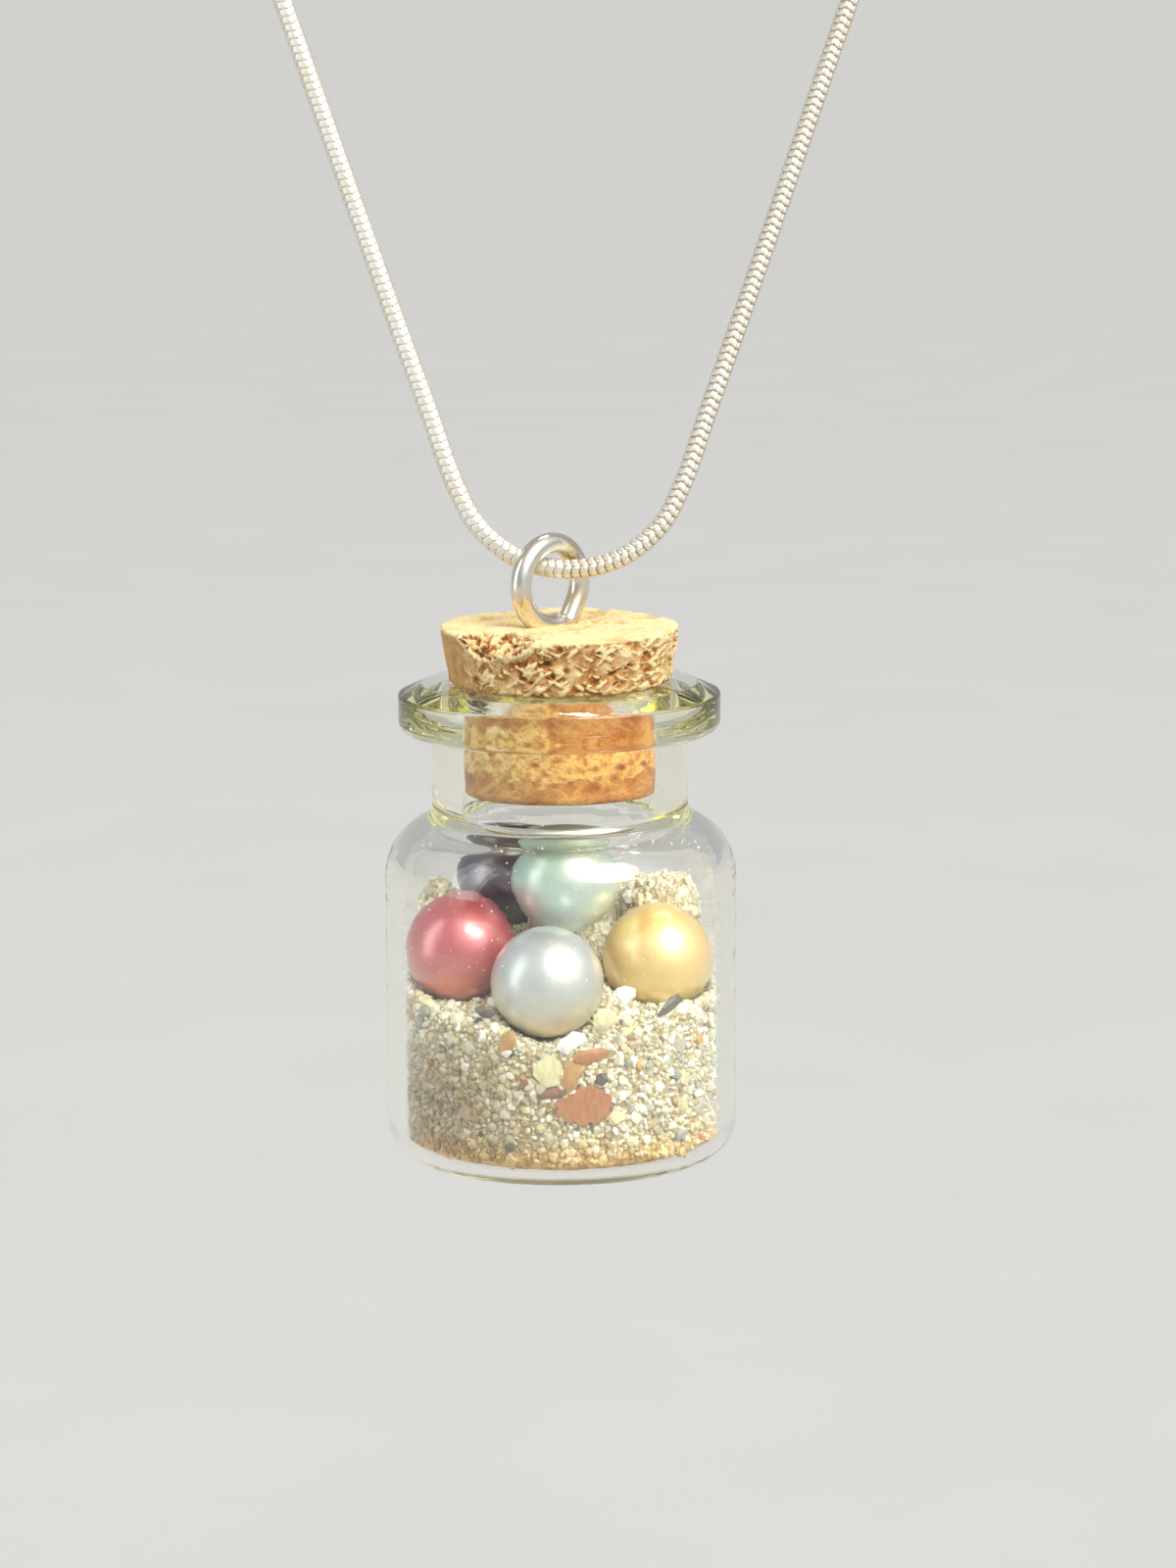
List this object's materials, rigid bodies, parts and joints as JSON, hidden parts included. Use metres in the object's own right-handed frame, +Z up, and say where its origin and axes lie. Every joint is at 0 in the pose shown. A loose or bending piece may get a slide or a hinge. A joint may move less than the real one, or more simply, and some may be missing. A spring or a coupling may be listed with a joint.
{
  "type": "charm necklace",
  "caption": "Snake chain necklace with a barrel clasp, carrying a corked glass bottle charm of sand and pearls on a screw eye.",
  "frame": {"origin": "on the chain's line at the nape, at the middle of the clasp", "axes": "+Z up, -Y towards the wearer's front, where the charm hangs, +X to the right as seen from the front"},
  "size_m": [0.1112, 0.1351, 0.1988],
  "materials": {
    "chain_metal": "polished silver plate with a warm tarnish",
    "clasp_metal": "polished silver plate",
    "eye_metal": "bright nickel wire",
    "cork": "natural cork, crumbly, with pale broken edges",
    "glass": "clear glass with a faint yellow-green tint",
    "sand": "coarse pale beach sand with shell grains",
    "white_pearl": "silver-white nacre",
    "red_pearl": "deep red nacre",
    "gold_pearl": "golden nacre",
    "aqua_pearl": "sea-green nacre with a pink sheen",
    "dark_pearl": "dark purple nacre"
  },
  "bodies": {
    "chain": {"snake_chain": "chain_metal", "clasp": "clasp_metal"},
    "pendant": {"screw_eye": "eye_metal", "cork": "cork", "bottle": "glass", "sand": "sand", "pearl_white": "white_pearl", "pearl_red": "red_pearl", "pearl_gold": "gold_pearl", "pearl_aqua": "aqua_pearl", "pearl_dark": "dark_pearl"}
  },
  "joints": [
    {"name": "pendant_swing", "type": "hinge", "parent": "chain", "child": "pendant", "pos_m": [-0.0012, -0.12195, -0.15988], "axis": [1, 0, 0], "range_deg": [-45, 45]}
  ]
}
